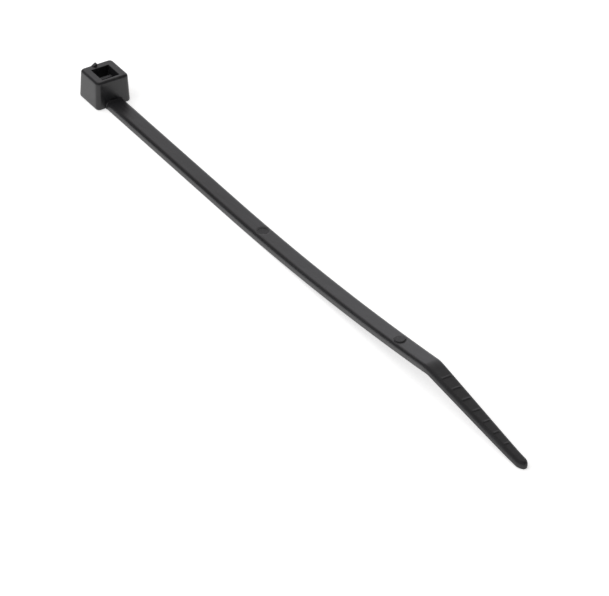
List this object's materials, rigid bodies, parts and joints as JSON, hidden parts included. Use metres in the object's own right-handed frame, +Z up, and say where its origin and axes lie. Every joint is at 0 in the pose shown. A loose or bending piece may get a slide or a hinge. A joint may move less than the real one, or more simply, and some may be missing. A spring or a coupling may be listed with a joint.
{
  "type": "cable tie",
  "caption": "One-piece moulded nylon cable tie: a square head with a slot and a locking pawl, a strap with a toothed underside and a narrow ribbed tail bent down to its tip.",
  "frame": {"origin": "centre of the slot in the head, at the level of the foot that the head stands on", "axes": "+X along the strap from the head to the tail, +Y across the strap, +Z up through the slot, the way the tail is pulled"},
  "size_m": [0.1007, 0.0052, 0.0044],
  "materials": {
    "nylon": "moulded black nylon, satin gloss"
  },
  "bodies": {
    "root": {"cable_tie": "nylon"}
  },
  "joints": []
}
